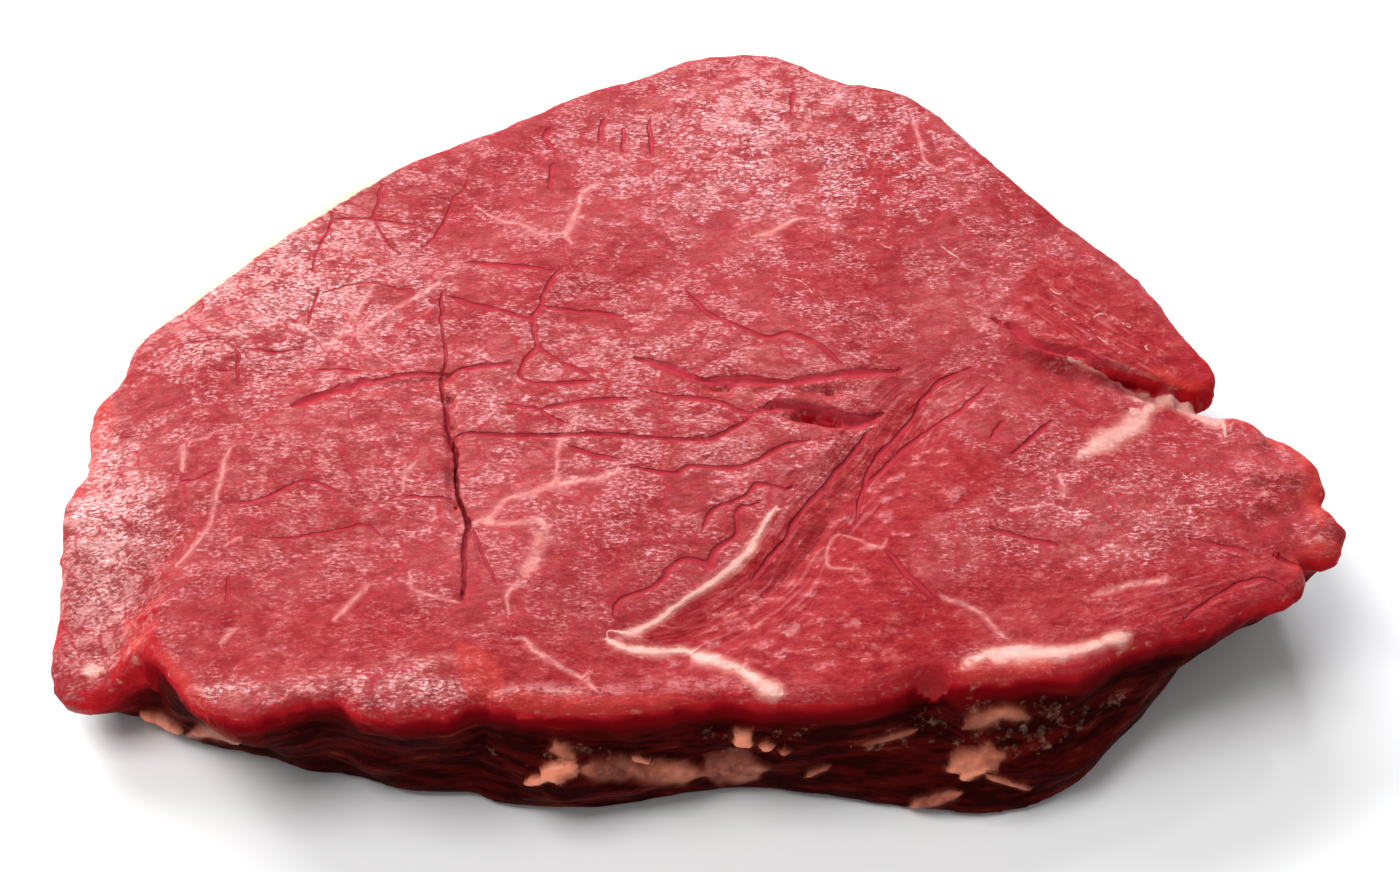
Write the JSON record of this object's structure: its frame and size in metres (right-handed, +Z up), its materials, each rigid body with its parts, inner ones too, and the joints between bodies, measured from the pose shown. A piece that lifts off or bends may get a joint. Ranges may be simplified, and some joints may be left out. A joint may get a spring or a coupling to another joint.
{
  "type": "raw beef steak",
  "caption": "Raw boneless beef steak cut across several muscles, lying flat, with a thin fat edge, muscle seams and open cracks.",
  "frame": {"origin": "on the surface it lies on, under the middle of the steak's bounding box", "axes": "+X along the steak's longest side, from the thin flap end to the two-lobed end; +Y from the tall cut front wall to the rounded back edge; +Z up through its thickness"},
  "size_m": [0.2154, 0.1712, 0.0252],
  "materials": {
    "raw_beef": "moist, semi-gloss"
  },
  "bodies": {
    "root": {"steak": "raw_beef"}
  },
  "joints": []
}
